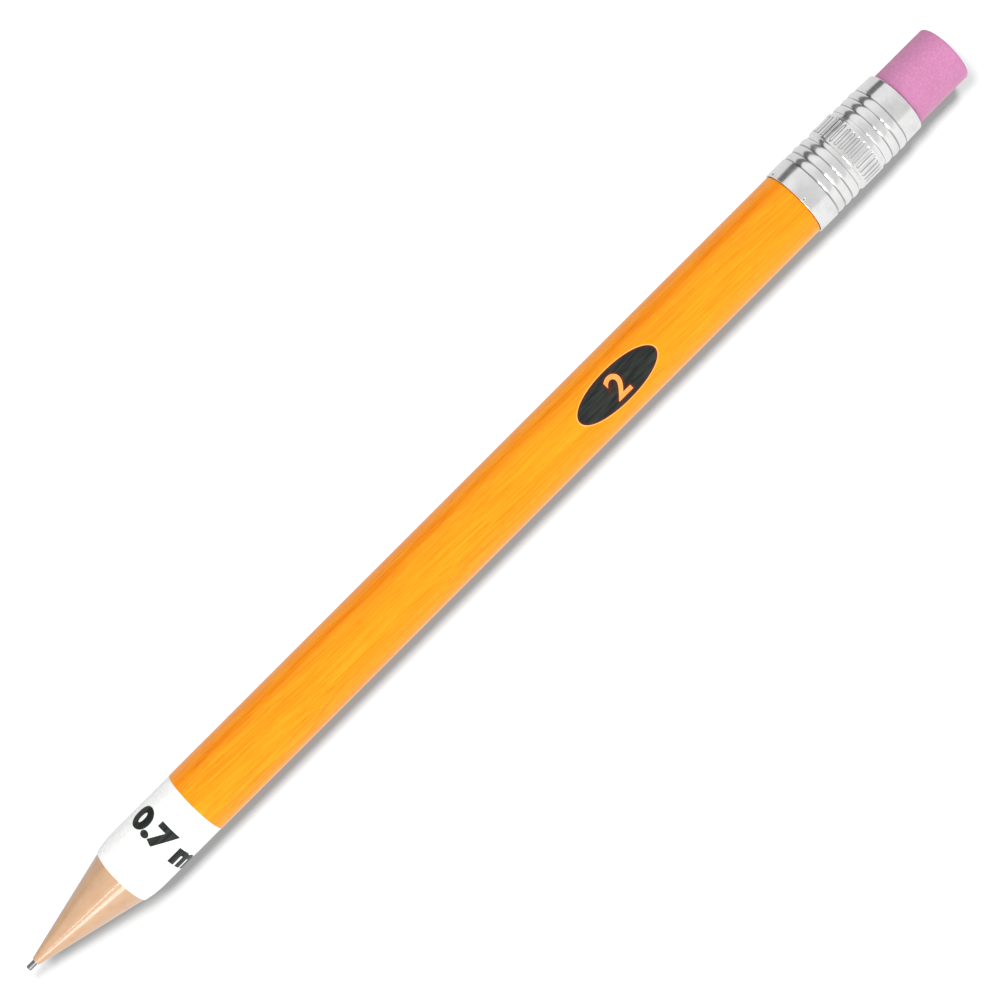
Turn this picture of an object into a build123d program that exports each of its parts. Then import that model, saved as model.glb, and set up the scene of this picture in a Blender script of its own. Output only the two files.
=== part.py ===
"""Push-button mechanical pencil styled as a wooden pencil, for 0.7 mm lead.

The pencil lies along X with its writing tip towards -X and its eraser towards +X. It rests on Z = 0.
Every piece is turned about one long axis, so places along it are given as stations: millimetres
from the end of the writing lead. Radii are measured from the long axis.

Fixed pieces are the barrel, front collar, clutch sleeve, rear bush and ferrule. The nose cone screws
into the front collar and carries the lead retainer. Pressing the eraser drives the eraser holder,
lead tube, connector and chuck forwards against the return spring. The clutch ring rides forwards on
the chuck until it meets the nose cone, which lets the jaws open and release the lead.
"""

from build123d import *
import os

# ---------------------------------------------------------------- driving dimensions
LEAD_DIAMETER = 0.70
LEAD_LENGTH = 60.0
LEAD_SHOWING = 1.15
BARREL_DIAMETER = 8.50
BARREL_BORE = 6.54
FERRULE_DIAMETER = 8.84
ERASER_DIAMETER = 7.44
PRESS_TRAVEL = 3.2
RING_TRAVEL = 1.0
RUNNING_GAP = 0.02
STOP_GAP = 0.05
EDGE_BREAK = 0.08
TURNED_BREAK = 0.2

# Stations of the pieces that show, from the lead's end at 0 to the eraser's end.
CONE_TIP = LEAD_SHOWING
COLLAR_FRONT = 14.8
BARREL_FRONT = 26.6
FERRULE_FRONT = 122.5
FERRULE_REAR = 138.9
LENGTH = 147.0

LEAD_R = LEAD_DIAMETER / 2
BARREL_R = BARREL_DIAMETER / 2
BORE_R = BARREL_BORE / 2
FERRULE_R = FERRULE_DIAMETER / 2
ERASER_R = ERASER_DIAMETER / 2
AXIS_HEIGHT = FERRULE_R

# Local x of this plane is the station and local y is the radius.
HALF_SECTION = Plane(origin=(-LENGTH / 2, 0, AXIS_HEIGHT), x_dir=(1, 0, 0), z_dir=(0, -1, 0))
LONG_AXIS = Axis((0, 0, AXIS_HEIGHT), (1, 0, 0))


def across(station):
    """The plane square to the long axis at a station, with its centre on the axis."""
    return Plane(origin=(station - LENGTH / 2, 0, AXIS_HEIGHT), x_dir=(0, 1, 0), z_dir=(1, 0, 0))


# ---------------------------------------------------------------- screw joint of the nose cone
THREAD_PITCH = 1.0
THREAD_ROOT_R = 2.85
THREAD_CREST_R = 3.22
THREAD_START = 15.9
THREAD_TURNS = 4
THREAD_GAP = 0.09
THREAD_BURY = 0.08
TOOTH_FOOT, TOOTH_TIP = 0.60, 0.24
COLLAR_BORE_R = 3.02


def thread_ridge(start, turns, root_radius, crest_radius, spread):
    """A right-handed helical ridge with a blunt tooth. spread widens each flank for clearance."""
    foot, tip = TOOTH_FOOT / 2 + spread, TOOTH_TIP / 2 + spread
    height = crest_radius - root_radius
    middle = across(start).origin
    with BuildPart() as ridge:
        with BuildLine() as path:
            Helix(THREAD_PITCH, turns * THREAD_PITCH, root_radius, center=middle, direction=(1, 0, 0))
        outward = (path.line @ 0 - middle).normalized()
        with BuildSketch(Plane(origin=path.line @ 0, x_dir=outward, z_dir=path.line % 0)):
            with BuildLine():
                Polyline((0, -foot), (height, -tip), (height, tip), (0, foot), close=True)
            make_face()
        sweep(path=path.line, is_frenet=True)
    return ridge.part


# ---------------------------------------------------------------- nose cone and lead retainer
CONE_TIP_R = 0.52
CONE_BASE_R = 3.74
PILOT_R = 3.25
PILOT_END = 15.5
SPIGOT_END = 20.8
GUIDE_R = LEAD_R + 0.03
GUIDE_END, GUIDE_FUNNEL = 4.05, 0.3
CHANNEL_R = 0.55
RETAINER_FRONT, RETAINER_REAR, RETAINER_R = 7.0, 10.0, 1.20
RETAINER_BREAK = 0.10
RETAINER_FUNNEL_R, RETAINER_FUNNEL = 0.78, 0.5
HEAD_ROOM_R = 1.50
RING_FRONT = 14.5
RING_STOP = RING_FRONT - RING_TRAVEL - STOP_GAP
SLEEVE_ROOM_R = 2.30

with BuildPart() as nose_cone:
    with BuildSketch(HALF_SECTION):
        with BuildLine():
            Polyline(
                (CONE_TIP, GUIDE_R),
                (CONE_TIP, CONE_TIP_R),
                (COLLAR_FRONT, CONE_BASE_R),
                (COLLAR_FRONT, PILOT_R),
                (PILOT_END, PILOT_R),
                (PILOT_END, THREAD_ROOT_R),
                (SPIGOT_END, THREAD_ROOT_R),
                (SPIGOT_END, SLEEVE_ROOM_R),
                (RING_STOP, SLEEVE_ROOM_R),
                (RING_STOP, HEAD_ROOM_R),
                (RETAINER_REAR, HEAD_ROOM_R),
                (RETAINER_REAR, RETAINER_R),
                (RETAINER_FRONT, RETAINER_R),
                (RETAINER_FRONT, CHANNEL_R),
                (GUIDE_END + GUIDE_FUNNEL, CHANNEL_R),
                (GUIDE_END, GUIDE_R),
                close=True,
            )
        make_face()
    revolve(axis=LONG_AXIS)
    add(
        thread_ridge(
            THREAD_START, THREAD_TURNS, THREAD_ROOT_R - THREAD_BURY, THREAD_CREST_R, 0
        )
    )
nose_cone.part.label = "nose_cone"

with BuildPart() as lead_retainer:
    with BuildSketch(HALF_SECTION):
        with BuildLine():
            Polyline(
                (RETAINER_FRONT + STOP_GAP, GUIDE_R),
                (RETAINER_FRONT + STOP_GAP, RETAINER_R - RETAINER_BREAK),
                (RETAINER_FRONT + STOP_GAP + RETAINER_BREAK, RETAINER_R - RUNNING_GAP),
                (RETAINER_REAR - 2 * STOP_GAP, RETAINER_R - RUNNING_GAP),
                (RETAINER_REAR - 2 * STOP_GAP, RETAINER_FUNNEL_R),
                (RETAINER_REAR - 2 * STOP_GAP - RETAINER_FUNNEL, GUIDE_R),
                close=True,
            )
        make_face()
    revolve(axis=LONG_AXIS)
lead_retainer.part.label = "lead_retainer"

# ---------------------------------------------------------------- front collar
COLLAR_R = 4.20
COLLAR_LIP_R = 3.86
SHOULDER_END = 17.7
FLANGE_SEAT = 21.9
SLEEVE_BORE_R = 2.55
COLLAR_SPIGOT_R = BORE_R - RUNNING_GAP
COLLAR_SPIGOT_END = 33.0
LIP_ROUND = 0.16

with BuildPart() as front_collar:
    with BuildSketch(HALF_SECTION):
        with BuildLine():
            shoulder = TangentArc(
                (SHOULDER_END, COLLAR_R), (COLLAR_FRONT, COLLAR_LIP_R), tangent=(-1, 0)
            )
            Polyline(
                shoulder @ 1,
                (COLLAR_FRONT, PILOT_R + THREAD_GAP),
                (PILOT_END + THREAD_GAP, PILOT_R + THREAD_GAP),
                (PILOT_END + THREAD_GAP, COLLAR_BORE_R),
                (FLANGE_SEAT, COLLAR_BORE_R),
                (FLANGE_SEAT, SLEEVE_BORE_R),
                (COLLAR_SPIGOT_END, SLEEVE_BORE_R),
                (COLLAR_SPIGOT_END, COLLAR_SPIGOT_R - TURNED_BREAK),
                (COLLAR_SPIGOT_END - 2 * TURNED_BREAK, COLLAR_SPIGOT_R),
                (BARREL_FRONT, COLLAR_SPIGOT_R),
                (BARREL_FRONT, COLLAR_R),
                shoulder @ 0,
            )
        make_face()
    revolve(axis=LONG_AXIS)
    lip_edge = edges().filter_by(GeomType.CIRCLE).filter_by(
        lambda e: abs(e.radius - COLLAR_LIP_R) < 0.01
    )
    fillet(lip_edge, LIP_ROUND)
    add(
        thread_ridge(
            THREAD_START - THREAD_PITCH,
            THREAD_TURNS + 2,
            THREAD_ROOT_R - THREAD_BURY,
            THREAD_CREST_R + THREAD_GAP,
            THREAD_GAP,
        ),
        mode=Mode.SUBTRACT,
    )
front_collar.part.label = "front_collar"

# ---------------------------------------------------------------- clutch: sleeve, ring and chuck
SLEEVE_FRONT = 13.6
SLEEVE_REAR = 32.0
SLEEVE_R = SLEEVE_ROOM_R - STOP_GAP
SLEEVE_TAPER = 0.3
RING_ROOM_R = 1.85
RING_SEAT = 17.32
CHUCK_PASSAGE_R = 1.15
SPRING_SEAT = 18.3
SPRING_ROOM_R = 1.90
TUBE_ROOM_FRONT = 25.8
TUBE_ROOM_R = 2.20
FLANGE_FRONT, FLANGE_REAR, FLANGE_R = 20.85, 21.85, 2.95

with BuildPart() as clutch_sleeve:
    with BuildSketch(HALF_SECTION):
        with BuildLine():
            Polyline(
                (SLEEVE_FRONT, RING_ROOM_R),
                (SLEEVE_FRONT, SLEEVE_R - SLEEVE_TAPER / 2),
                (SLEEVE_FRONT + SLEEVE_TAPER, SLEEVE_R),
                (FLANGE_FRONT, SLEEVE_R),
                (FLANGE_FRONT, FLANGE_R),
                (FLANGE_REAR, FLANGE_R),
                (FLANGE_REAR, SLEEVE_BORE_R - RUNNING_GAP),
                (SLEEVE_REAR, SLEEVE_BORE_R - RUNNING_GAP),
                (SLEEVE_REAR, TUBE_ROOM_R),
                (TUBE_ROOM_FRONT, TUBE_ROOM_R),
                (TUBE_ROOM_FRONT, SPRING_ROOM_R),
                (SPRING_SEAT, SPRING_ROOM_R),
                (SPRING_SEAT, CHUCK_PASSAGE_R),
                (RING_SEAT, CHUCK_PASSAGE_R),
                (RING_SEAT, RING_ROOM_R),
                close=True,
            )
        make_face()
    revolve(axis=LONG_AXIS)
clutch_sleeve.part.label = "clutch_sleeve"

CHUCK_FRONT = 13.6
CHUCK_HEAD_R = 1.35
CHUCK_TAPER_FRONT, CHUCK_TAPER_REAR = 14.3, 16.2
CHUCK_STEM_R = 0.92
CHUCK_SHANK_FRONT = 27.0
CHUCK_SHANK_R = 1.05
CHUCK_STEP = 0.3
CHUCK_REAR = 32.0
JAW_LENGTH = 11.0
JAW_SLIT = 0.26
JAW_COUNT = 3
GRIP_LENGTH = 2.0
GRIP_RELIEF = 0.4
CHUCK_BORE_R = 0.55

with BuildPart() as chuck:
    with BuildSketch(HALF_SECTION):
        with BuildLine():
            Polyline(
                (CHUCK_FRONT, LEAD_R + RUNNING_GAP),
                (CHUCK_FRONT, CHUCK_HEAD_R - TURNED_BREAK),
                (CHUCK_FRONT + TURNED_BREAK, CHUCK_HEAD_R),
                (CHUCK_TAPER_FRONT, CHUCK_HEAD_R),
                (CHUCK_TAPER_REAR, CHUCK_STEM_R),
                (CHUCK_SHANK_FRONT, CHUCK_STEM_R),
                (CHUCK_SHANK_FRONT + CHUCK_STEP, CHUCK_SHANK_R),
                (CHUCK_REAR, CHUCK_SHANK_R),
                (CHUCK_REAR, CHUCK_BORE_R),
                (CHUCK_FRONT + GRIP_LENGTH + GRIP_RELIEF, CHUCK_BORE_R),
                (CHUCK_FRONT + GRIP_LENGTH, LEAD_R + RUNNING_GAP),
                close=True,
            )
        make_face()
    revolve(axis=LONG_AXIS)
    with BuildSketch(across(CHUCK_FRONT)):
        with PolarLocations(0, JAW_COUNT, start_angle=90):
            Rectangle(2 * CHUCK_HEAD_R, JAW_SLIT, align=(Align.MIN, Align.CENTER))
    extrude(amount=JAW_LENGTH, mode=Mode.SUBTRACT)
chuck.part.label = "chuck"

RING_REAR, RING_R = 17.3, 1.80
RING_BREAK = 0.12
TAPER_SLOPE = (CHUCK_HEAD_R - CHUCK_STEM_R) / (CHUCK_TAPER_REAR - CHUCK_TAPER_FRONT)
RING_BORE_R = 1.10
RING_MOUTH_R = CHUCK_HEAD_R - (RING_FRONT - CHUCK_TAPER_FRONT) * TAPER_SLOPE + RUNNING_GAP
RING_CONE_END = RING_FRONT + (RING_MOUTH_R - RING_BORE_R) / TAPER_SLOPE

with BuildPart() as clutch_ring:
    with BuildSketch(HALF_SECTION):
        with BuildLine():
            Polyline(
                (RING_FRONT, RING_MOUTH_R),
                (RING_FRONT, RING_R - RING_BREAK),
                (RING_FRONT + RING_BREAK, RING_R),
                (RING_REAR - RING_BREAK, RING_R),
                (RING_REAR, RING_R - RING_BREAK),
                (RING_REAR, RING_BORE_R),
                (RING_CONE_END, RING_BORE_R),
                close=True,
            )
        make_face()
    revolve(axis=LONG_AXIS)
clutch_ring.part.label = "clutch_ring"

# ---------------------------------------------------------------- connector, spring and lead tube
NOSE_END, CONNECTOR_FLANGE, TUBE_FRONT, CONNECTOR_REAR = 27.35, 28.4, 29.4, 34.0
CONNECTOR_NOSE_R = 1.25
CONNECTOR_FLANGE_R = 1.80
CONNECTOR_LEAD_IN = 0.3
CONNECTOR_FUNNEL_R = 1.35
FUNNEL_THROAT = 32.4
TUBE_R, TUBE_BORE_R = 2.10, 1.60
TUBE_REAR = 131.0

with BuildPart() as chuck_connector:
    with BuildSketch(HALF_SECTION):
        with BuildLine():
            Polyline(
                (NOSE_END, CHUCK_SHANK_R),
                (NOSE_END, CONNECTOR_NOSE_R),
                (CONNECTOR_FLANGE, CONNECTOR_NOSE_R),
                (CONNECTOR_FLANGE, CONNECTOR_FLANGE_R),
                (TUBE_FRONT, CONNECTOR_FLANGE_R),
                (TUBE_FRONT, TUBE_BORE_R - RUNNING_GAP),
                (CONNECTOR_REAR - CONNECTOR_LEAD_IN, TUBE_BORE_R - RUNNING_GAP),
                (CONNECTOR_REAR, TUBE_BORE_R - CONNECTOR_LEAD_IN / 2),
                (CONNECTOR_REAR, CONNECTOR_FUNNEL_R),
                (FUNNEL_THROAT, CHUCK_BORE_R),
                (CHUCK_REAR, CHUCK_BORE_R),
                (CHUCK_REAR, CHUCK_SHANK_R),
                close=True,
            )
        make_face()
    revolve(axis=LONG_AXIS)
chuck_connector.part.label = "chuck_connector"

SPRING_WIRE = 0.34
SPRING_COIL_R = 1.50
SPRING_TURNS = 10
SPRING_GAP = 0.03

with BuildPart() as return_spring:
    spring_from, spring_to = SPRING_SEAT + SPRING_GAP, CONNECTOR_FLANGE - SPRING_GAP
    coil_height = spring_to - spring_from - SPRING_WIRE
    coil_start = across(spring_from + SPRING_WIRE / 2).origin
    coil_pitch = coil_height / SPRING_TURNS
    with BuildLine() as coil:
        Helix(coil_pitch, coil_height, SPRING_COIL_R, center=coil_start, direction=(1, 0, 0))
    with BuildSketch(Plane(origin=coil.line @ 0, z_dir=coil.line % 0)):
        Circle(SPRING_WIRE / 2)
    sweep(path=coil.line, is_frenet=True)
return_spring.part.label = "return_spring"

with BuildPart() as lead_tube:
    with BuildSketch(across(TUBE_FRONT)):
        Circle(TUBE_R)
        Circle(TUBE_BORE_R, mode=Mode.SUBTRACT)
    extrude(amount=TUBE_REAR - TUBE_FRONT)
    chamfer(edges().filter_by(GeomType.CIRCLE), EDGE_BREAK)
lead_tube.part.label = "lead_tube"

# ---------------------------------------------------------------- leads
LEAD_CHAMFER = 0.07
SPARE_COUNT = 3
SPARE_FRONT = 35.0
SPARE_OFFSET = TUBE_BORE_R - LEAD_R - 2 * RUNNING_GAP
SPARE_SPREAD = 36

with BuildPart() as writing_lead:
    with BuildSketch(across(0)):
        Circle(LEAD_R)
    extrude(amount=LEAD_LENGTH)
    chamfer(edges().filter_by(GeomType.CIRCLE), LEAD_CHAMFER)
writing_lead.part.label = "writing_lead"

spare_leads = []
for number in range(SPARE_COUNT):
    angle = -90 + (number - 1) * SPARE_SPREAD
    with BuildPart() as spare_lead:
        with BuildSketch(across(SPARE_FRONT)):
            with PolarLocations(SPARE_OFFSET, 1, start_angle=angle):
                Circle(LEAD_R)
        extrude(amount=LEAD_LENGTH)
        chamfer(edges().filter_by(GeomType.CIRCLE), LEAD_CHAMFER)
    spare_lead.part.label = f"spare_lead_{number + 1}"
    spare_leads.append(spare_lead)

# ---------------------------------------------------------------- barrel and rear bush
BARREL_SEAT_R = 4.08
BARREL_REAR = 125.1
BUSH_FRONT, BUSH_REAR = 117.0, 133.4
BUSH_CORE_R = 3.88
BUSH_BORE_R = 2.75
HOLDER_STOP = TUBE_REAR - PRESS_TRAVEL - 2 * STOP_GAP
HOLDER_ROOM_R = 3.15

with BuildPart() as barrel:
    with BuildSketch(HALF_SECTION):
        with BuildLine():
            Polyline(
                (BARREL_FRONT, BORE_R),
                (BARREL_FRONT, BARREL_R - EDGE_BREAK),
                (BARREL_FRONT + EDGE_BREAK, BARREL_R),
                (FERRULE_FRONT, BARREL_R),
                (FERRULE_FRONT, BARREL_SEAT_R),
                (BARREL_REAR, BARREL_SEAT_R),
                (BARREL_REAR, BORE_R),
                close=True,
            )
        make_face()
    revolve(axis=LONG_AXIS)
barrel.part.label = "barrel"

with BuildPart() as rear_bush:
    with BuildSketch(HALF_SECTION):
        with BuildLine():
            Polyline(
                (BUSH_FRONT, BUSH_BORE_R),
                (BUSH_FRONT, BORE_R - TURNED_BREAK),
                (BUSH_FRONT + 2 * TURNED_BREAK, BORE_R - RUNNING_GAP),
                (BARREL_REAR, BORE_R - RUNNING_GAP),
                (BARREL_REAR, BUSH_CORE_R),
                (BUSH_REAR, BUSH_CORE_R),
                (BUSH_REAR, HOLDER_ROOM_R),
                (HOLDER_STOP, HOLDER_ROOM_R),
                (HOLDER_STOP, BUSH_BORE_R),
                close=True,
            )
        make_face()
    revolve(axis=LONG_AXIS)
rear_bush.part.label = "rear_bush"

# ---------------------------------------------------------------- ferrule
FERRULE_WALL = 0.22
BAND_STEP = 0.12
FRONT_BAND_END = 125.25
BEAD_PITCH = 1.15
BEAD_COUNT = 3
FRONT_GROOVE_R, FRONT_BEAD_R = 4.24, 4.38
FLUTE_BAND_START, FLUTE_BAND_END, FLUTE_BAND_R = 129.40, 132.50, 4.34
NECK_R = 4.16
REAR_BEADS_START = 132.95
REAR_GROOVE_R, REAR_BEAD_R = 4.14, 4.28
MOUTH_BAND_START, MOUTH_BAND_R, MOUTH_R = 136.75, 4.17, 4.11
FLUTE_COUNT = 36
FLUTE_LENGTH, FLUTE_WIDTH, FLUTE_DEPTH = 2.5, 0.36, 0.13


def bead_row(start, groove_radius, bead_radius):
    """Draw a row of rounded beads, from its first groove to its last."""
    for bead in range(BEAD_COUNT):
        foot = start + bead * BEAD_PITCH
        ThreePointArc(
            (foot, groove_radius),
            (foot + BEAD_PITCH / 2, bead_radius),
            (foot + BEAD_PITCH, groove_radius),
        )


def ferrule_skin(inset, flute_band_radius):
    """Draw one skin of the rolled ferrule from front to rear, inset from its outside."""
    front_beads_end = FRONT_BAND_END + BEAD_COUNT * BEAD_PITCH
    rear_beads_end = REAR_BEADS_START + BEAD_COUNT * BEAD_PITCH
    Polyline(
        (FERRULE_FRONT, FERRULE_R - inset),
        (FRONT_BAND_END - BAND_STEP, FERRULE_R - inset),
        (FRONT_BAND_END, FRONT_GROOVE_R - inset),
    )
    bead_row(FRONT_BAND_END, FRONT_GROOVE_R - inset, FRONT_BEAD_R - inset)
    Polyline(
        (front_beads_end, FRONT_GROOVE_R - inset),
        (front_beads_end + BAND_STEP, NECK_R - inset),
        (FLUTE_BAND_START - BAND_STEP, NECK_R - inset),
        (FLUTE_BAND_START, flute_band_radius),
        (FLUTE_BAND_END, flute_band_radius),
        (FLUTE_BAND_END + BAND_STEP, NECK_R - inset),
        (REAR_BEADS_START - BAND_STEP, NECK_R - inset),
        (REAR_BEADS_START, REAR_GROOVE_R - inset),
    )
    bead_row(REAR_BEADS_START, REAR_GROOVE_R - inset, REAR_BEAD_R - inset)
    Polyline(
        (rear_beads_end, REAR_GROOVE_R - inset),
        (MOUTH_BAND_START, MOUTH_BAND_R - inset),
        (FERRULE_REAR, MOUTH_R - inset),
    )


def flute_floor(turn):
    """The plane of one flute's floor, facing outwards, with its local x along the pencil."""
    middle = across((FLUTE_BAND_START + FLUTE_BAND_END) / 2)
    around = middle.rotated((0, 0, turn * 360 / FLUTE_COUNT))
    outward = around.x_dir
    return Plane(
        origin=middle.origin + outward * (FLUTE_BAND_R - FLUTE_DEPTH), x_dir=(1, 0, 0), z_dir=outward
    )


with BuildPart() as ferrule:
    with BuildSketch(HALF_SECTION):
        with BuildLine():
            ferrule_skin(0, FLUTE_BAND_R)
            ferrule_skin(FERRULE_WALL, NECK_R - FERRULE_WALL + RUNNING_GAP)
            Line((FERRULE_FRONT, FERRULE_R), (FERRULE_FRONT, FERRULE_R - FERRULE_WALL))
            Line((FERRULE_REAR, MOUTH_R), (FERRULE_REAR, MOUTH_R - FERRULE_WALL))
        make_face()
    revolve(axis=LONG_AXIS)
    with BuildSketch(*[flute_floor(turn) for turn in range(FLUTE_COUNT)]):
        SlotOverall(FLUTE_LENGTH, FLUTE_WIDTH)
    extrude(amount=2 * FLUTE_DEPTH, mode=Mode.SUBTRACT)
ferrule.part.label = "ferrule"

# ---------------------------------------------------------------- eraser holder and eraser
HOLDER_FRONT, HOLDER_REAR = 124.0, 137.0
HOLDER_STEM_R = 2.60
HOLDER_CUP_R, HOLDER_CUP_BORE_R = 3.05, 2.45
CUP_FLOOR = 132.0
LOADING_HOLE_R = 1.30
ERASER_WAIST_R, ERASER_WAIST_END = 3.55, 139.0
ERASER_FRONT = CUP_FLOOR + STOP_GAP
ERASER_PLUG_R = HOLDER_CUP_BORE_R - 2 * RUNNING_GAP
ERASER_PLUG_TAPER = 0.4
ERASER_ROUND = 0.45

with BuildPart() as eraser_holder:
    with BuildSketch(HALF_SECTION):
        with BuildLine():
            Polyline(
                (HOLDER_FRONT, TUBE_R + RUNNING_GAP),
                (HOLDER_FRONT, HOLDER_STEM_R),
                (TUBE_REAR, HOLDER_STEM_R),
                (TUBE_REAR, HOLDER_CUP_R),
                (HOLDER_REAR, HOLDER_CUP_R),
                (HOLDER_REAR, HOLDER_CUP_BORE_R),
                (CUP_FLOOR, HOLDER_CUP_BORE_R),
                (CUP_FLOOR, LOADING_HOLE_R),
                (TUBE_REAR, LOADING_HOLE_R),
                (TUBE_REAR, TUBE_R + RUNNING_GAP),
                close=True,
            )
        make_face()
    revolve(axis=LONG_AXIS)
eraser_holder.part.label = "eraser_holder"

with BuildPart() as eraser:
    with BuildSketch(HALF_SECTION):
        with BuildLine():
            Polyline(
                (ERASER_FRONT, 0),
                (ERASER_FRONT, ERASER_PLUG_R - ERASER_PLUG_TAPER),
                (ERASER_FRONT + ERASER_PLUG_TAPER, ERASER_PLUG_R),
                (HOLDER_REAR + RUNNING_GAP, ERASER_PLUG_R),
                (HOLDER_REAR + RUNNING_GAP, ERASER_WAIST_R),
                (ERASER_WAIST_END, ERASER_WAIST_R),
                (ERASER_WAIST_END, ERASER_R),
                (LENGTH, ERASER_R),
                (LENGTH, 0),
                close=True,
            )
        make_face()
    revolve(axis=LONG_AXIS)
    fillet(edges().filter_by(GeomType.CIRCLE).sort_by(Axis.X)[-1], ERASER_ROUND)
eraser.part.label = "eraser"

# ---------------------------------------------------------------- one STEP file for each piece
pieces = [
    nose_cone, lead_retainer, front_collar, clutch_sleeve, clutch_ring, chuck, chuck_connector,
    return_spring, lead_tube, writing_lead, *spare_leads, barrel, rear_bush, ferrule,
    eraser_holder, eraser,
]
os.makedirs("parts", exist_ok=True)
for piece in pieces:
    export_step(piece.part, f"parts/{piece.part.label}.step")
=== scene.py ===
"""Mechanical pencil made to look like a wooden one: barrel, collar, cone, ferrule, eraser and clutch.

All lengths are in metres. The pencil lies along X with its writing tip towards -X, and every piece is
turned about one long axis. An outline is a list of (x, radius) points, measured from that axis.
"""

import math

import bmesh
import bpy
from bpy.props import (
    FloatProperty,
    FloatVectorProperty,
    IntProperty,
    PointerProperty,
    StringProperty,
)
from mathutils import Matrix, Vector, noise


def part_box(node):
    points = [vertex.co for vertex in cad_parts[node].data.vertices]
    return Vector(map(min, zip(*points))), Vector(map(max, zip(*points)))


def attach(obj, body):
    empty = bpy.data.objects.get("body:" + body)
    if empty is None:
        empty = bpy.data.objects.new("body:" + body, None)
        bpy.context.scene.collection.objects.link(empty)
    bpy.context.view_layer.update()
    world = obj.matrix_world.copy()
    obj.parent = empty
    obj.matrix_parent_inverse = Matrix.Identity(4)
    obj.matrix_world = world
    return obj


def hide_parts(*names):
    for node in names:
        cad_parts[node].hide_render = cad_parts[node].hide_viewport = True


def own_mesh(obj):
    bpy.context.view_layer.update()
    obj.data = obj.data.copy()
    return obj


bl_info = {
    "name": "Wood-look mechanical pencil",
    "version": (1, 0, 0),
    "blender": (4, 5, 0),
    "location": "View3D > Sidebar > Pencil",
    "description": "Builds the finished pieces of a push-button pencil around its packed frame",
    "category": "Add Mesh",
}

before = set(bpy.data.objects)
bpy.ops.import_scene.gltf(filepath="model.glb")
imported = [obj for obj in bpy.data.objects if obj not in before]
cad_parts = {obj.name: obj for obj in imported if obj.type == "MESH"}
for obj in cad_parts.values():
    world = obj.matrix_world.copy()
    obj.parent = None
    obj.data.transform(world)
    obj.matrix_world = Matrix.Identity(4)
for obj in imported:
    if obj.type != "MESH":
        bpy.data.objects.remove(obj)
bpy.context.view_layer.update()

MM = 0.001
TURN = 2 * math.pi

LEAD_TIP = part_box("writing_lead")[0].x
LEAD_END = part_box("writing_lead")[1].x
CONE_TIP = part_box("nose_cone")[0].x
CONE_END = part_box("nose_cone")[1].x
COLLAR_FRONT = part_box("front_collar")[0].x
COLLAR_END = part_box("front_collar")[1].x
BARREL_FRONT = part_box("barrel")[0].x
BARREL_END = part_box("barrel")[1].x
FERRULE_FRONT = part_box("ferrule")[0].x
FERRULE_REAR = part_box("ferrule")[1].x
ERASER_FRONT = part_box("eraser")[0].x
ERASER_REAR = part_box("eraser")[1].x
AXIS_Z = (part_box("barrel")[0].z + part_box("barrel")[1].z) / 2


def radius_of(node):
    """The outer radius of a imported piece."""
    low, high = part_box(node)
    return (high.y - low.y) / 2


# ---------------------------------------------------------------- shaping


def arc(centre, radius, start, end, steps):
    """Points of an arc in an outline, from one angle to another in degrees."""
    angles = [math.radians(start + (end - start) * step / steps) for step in range(steps + 1)]
    return [(centre[0] + radius * math.cos(a), centre[1] + radius * math.sin(a)) for a in angles]


def outline_mesh(outline, closed=True):
    """A bmesh that holds one outline as edges above the long axis."""
    bm = bmesh.new()
    corners = [bm.verts.new((x, 0, AXIS_Z + radius)) for x, radius in outline]
    for first, second in zip(corners, corners[1:]):
        bm.edges.new((first, second))
    if closed:
        bm.edges.new((corners[-1], corners[0]))
    return bm


def turn(bm, facets, turns=1.0, advance=0.0):
    """Spins what the bmesh holds about the long axis, as a full ring or as a screw that advances."""
    ring = advance == 0.0
    bmesh.ops.spin(
        bm,
        geom=bm.verts[:] + bm.edges[:],
        cent=(0, 0, AXIS_Z),
        axis=(1, 0, 0),
        dvec=(advance / facets, 0, 0),
        angle=TURN * turns,
        steps=int(facets * turns),
        use_merge=ring,
    )
    bmesh.ops.remove_doubles(bm, verts=bm.verts[:], dist=0.1e-6)


def turned(outline, facets, closed=True):
    """A closed solid turned from an outline."""
    bm = outline_mesh(outline, closed)
    turn(bm, facets)
    bmesh.ops.recalc_face_normals(bm, faces=bm.faces[:])
    return bm


def screw_ridge(bm, start, turns, pitch, root, crest, foot, tip):
    """Adds a right-handed helical ridge with flat flanks, capped at both ends."""
    tooth = [(-foot / 2, root), (-tip / 2, crest), (tip / 2, crest), (foot / 2, root)]
    ridge = outline_mesh([(start + x, radius) for x, radius in tooth])
    turn(ridge, 96, turns, pitch)
    bmesh.ops.holes_fill(ridge, edges=[e for e in ridge.edges if e.is_boundary], sides=4)
    bmesh.ops.recalc_face_normals(ridge, faces=ridge.faces[:])
    scratch = bpy.data.meshes.new("ridge")
    ridge.to_mesh(scratch)
    ridge.free()
    bm.from_mesh(scratch)
    bpy.data.meshes.remove(scratch)


def finished(bm, name, material, body, sharp_degrees=35):
    """Turns a bmesh into a named piece that rides on a body."""
    mesh = bpy.data.meshes.new(name)
    bm.to_mesh(mesh)
    bm.free()
    mesh.materials.append(material)
    mesh.shade_smooth()
    mesh.set_sharp_from_angle(angle=math.radians(sharp_degrees))
    piece = bpy.data.objects.new(name, mesh)
    bpy.context.scene.collection.objects.link(piece)
    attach(piece, body)
    return piece


def polar(co):
    """The angle of a point round the long axis, 0 at the top and positive towards +Y."""
    return math.atan2(co.y, co.z - AXIS_Z)


def push_radially(vertex, distance):
    """Moves a vertex straight out from the long axis, or in when the distance is negative."""
    outward = Vector((0, vertex.co.y, vertex.co.z - AXIS_Z))
    vertex.co += outward.normalized() * distance


# ---------------------------------------------------------------- materials


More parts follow.
